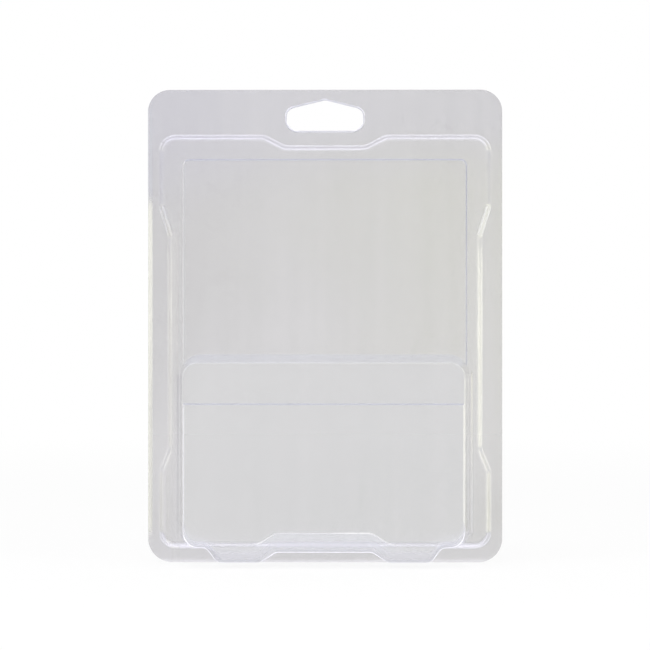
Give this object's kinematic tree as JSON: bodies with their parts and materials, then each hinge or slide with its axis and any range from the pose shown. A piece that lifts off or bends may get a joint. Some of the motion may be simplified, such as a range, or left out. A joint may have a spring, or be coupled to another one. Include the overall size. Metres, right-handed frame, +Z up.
{
  "type": "blister protector case",
  "caption": "Clear clamshell protector case with a raised frame, a deep front pocket on two feet, a hang slot and a hinged back.",
  "frame": {"origin": "middle of the lower flange edge, in the plane where the two flanges meet", "axes": "+Z up along the case's height, -Y out of the front face with the pocket, +X to the right seen from the front"},
  "size_m": [0.1469, 0.0392, 0.196],
  "materials": {
    "clear_film": "clear gloss film"
  },
  "bodies": {
    "front": {"front_shell": "clear_film"},
    "back": {"back_shell": "clear_film"}
  },
  "joints": [
    {"name": "back_hinge", "type": "hinge", "parent": "front", "child": "back", "pos_m": [-0.0735, 0, 0.098], "axis": [0, 0, 1], "range_deg": [0, 180]}
  ]
}
